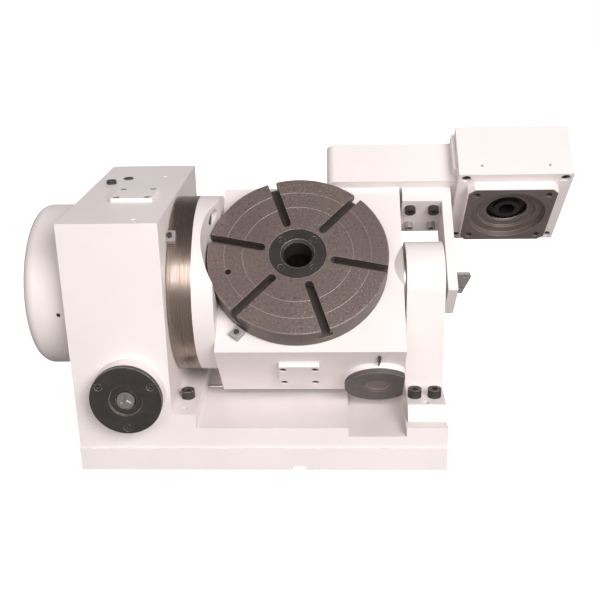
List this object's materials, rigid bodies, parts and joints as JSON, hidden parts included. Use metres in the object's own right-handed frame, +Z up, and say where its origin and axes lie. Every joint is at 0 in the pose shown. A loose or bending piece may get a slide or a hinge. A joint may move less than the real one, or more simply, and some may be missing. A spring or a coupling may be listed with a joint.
{
  "type": "rotary table",
  "caption": "Two-axis rotary table: a round T-slotted table in a cradle that tilts between a headstock and a tailstock, with a belt and worm drive.",
  "frame": {"origin": "underside of the base, at the middle of the keyway, below the centre of the table", "axes": "+X from the headstock to the tailstock, along the tilt axis; +Y to the back; +Z up"},
  "size_m": [0.7587, 0.3793, 0.4267],
  "materials": {
    "white_paint": "satin paint, thinly worn",
    "black_oxide": "black oxide",
    "scraped_iron": "ground and scraped, lightly stained",
    "ring_steel": "turned and brushed",
    "bright_steel": "ground",
    "dark_steel": "blacked and oiled",
    "grey_iron": "machined",
    "grey_paint": "satin",
    "dark_flange": "oiled",
    "cap_grey": "matt",
    "brown_plug": "matt",
    "bronze": "machined",
    "rubber": "matt",
    "pulley_aluminium": "machined"
  },
  "bodies": {
    "base": {"base_casting": "white_paint", "headstock_housing": "white_paint", "headstock_bolts": "black_oxide", "inspection_cover": "white_paint", "port_plugs": "black_oxide", "painted_plugs": "white_paint", "base_small_screws": "black_oxide", "drum_cover": "white_paint", "main_bearing": "bright_steel", "rear_bearing": "bright_steel", "rear_bearing_carrier": "grey_iron", "spindle_oil_seal": "rubber", "brake_ring": "grey_iron", "tilt_worm_bearings": "bright_steel", "tilt_worm_cover": "black_oxide", "vernier_block": "grey_paint", "tailstock_housing": "white_paint", "tailstock_bearing": "bright_steel", "tailstock_bolts": "black_oxide", "oil_pipe": "bright_steel"},
    "tilt_worm": {"tilt_worm_shaft": "bright_steel"},
    "cradle": {"tilt_spindle": "bright_steel", "tilt_worm_wheel": "bronze", "spindle_lock_nut": "grey_iron", "brake_disc": "bright_steel", "graduated_ring": "ring_steel", "cradle_casting": "white_paint", "cradle_flange_bolts": "black_oxide", "front_cover_plate": "white_paint", "cradle_small_screws": "black_oxide", "index_block": "grey_paint", "worm_boss_cap": "cap_grey", "worm_boss_plug": "brown_plug", "vent_nipple": "black_oxide", "belt_housing": "white_paint", "belt_rear_cover": "white_paint", "motor_box": "white_paint", "motor_rear_cover": "white_paint", "motor_flange": "dark_flange", "motor_box_screws": "black_oxide", "arm_bracket": "white_paint", "arm_bracket_screws": "black_oxide", "arm_bracket_long_screws": "bright_steel", "trunnion_shaft": "bright_steel", "trunnion_nut": "black_oxide", "hose_bracket": "grey_paint", "table_bearing": "bright_steel", "lower_table_bearing": "bright_steel", "bottom_cover": "grey_iron", "table_worm_bearings": "bright_steel", "motor_side_bearing": "dark_steel", "timing_belt": "rubber"},
    "table": {"faceplate": "scraped_iron", "centre_sleeve": "black_oxide", "sleeve_screws": "black_oxide", "table_spindle": "dark_steel", "table_worm_wheel": "bronze"},
    "table_worm": {"table_worm_shaft": "bright_steel", "driven_pulley": "pulley_aluminium"},
    "drive": {"drive_pulley": "dark_steel"}
  },
  "joints": [
    {"name": "tilt", "type": "hinge", "parent": "base", "child": "cradle", "pos_m": [0, 0, 0.22495], "axis": [1, 0, 0], "range_deg": [-55, 65]},
    {"name": "tilt_worm_spin", "type": "hinge", "parent": "base", "child": "tilt_worm", "pos_m": [-0.2262, 0, 0.11995], "axis": [0, 1, 0], "continuous": true},
    {"name": "table_spin", "type": "hinge", "parent": "cradle", "child": "table", "pos_m": [0, -0.04949, 0.28394], "axis": [0, -0.6428, 0.766], "continuous": true},
    {"name": "table_worm_spin", "type": "hinge", "parent": "cradle", "child": "table_worm", "pos_m": [0.11, 0.02411, 0.19623], "axis": [0, 0.766, 0.6428], "continuous": true},
    {"name": "motor_pulley_spin", "type": "hinge", "parent": "cradle", "child": "drive", "pos_m": [0.307, 0.10339, 0.31954], "axis": [0, 0.766, 0.6428], "continuous": true}
  ],
  "couplings": [
    {"joint": "tilt_worm_spin", "follows": "tilt", "ratio": 90},
    {"joint": "table_worm_spin", "follows": "table_spin", "ratio": 90},
    {"joint": "motor_pulley_spin", "follows": "table_spin", "ratio": 90}
  ]
}
